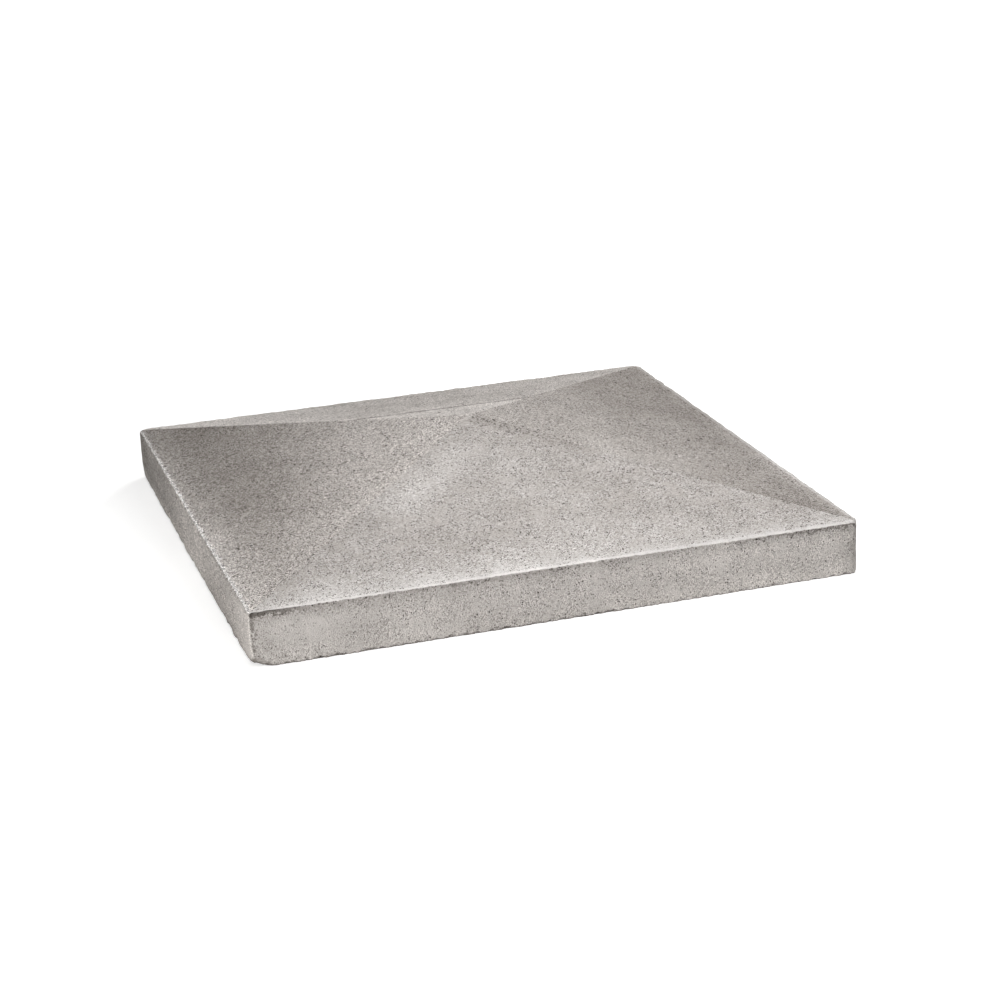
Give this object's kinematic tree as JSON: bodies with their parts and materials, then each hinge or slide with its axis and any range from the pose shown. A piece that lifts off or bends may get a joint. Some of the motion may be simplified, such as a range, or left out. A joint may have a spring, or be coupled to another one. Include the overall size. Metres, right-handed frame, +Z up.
{
  "type": "pier cap",
  "caption": "Square precast concrete cap with a flat bed, upright sides and a low pyramid top that sheds rain off the head of a masonry pier.",
  "frame": {"origin": "middle of the bed, the flat underside that rests on the pier", "axes": "+Z up through the apex, X and Y square to the upright sides"},
  "size_m": [0.45, 0.45, 0.0864],
  "materials": {
    "cast_concrete": "as cast, matt, warm light grey, sandy grain with pinholes and smoother paste patches"
  },
  "bodies": {
    "root": {"pier_cap": "cast_concrete"}
  },
  "joints": []
}
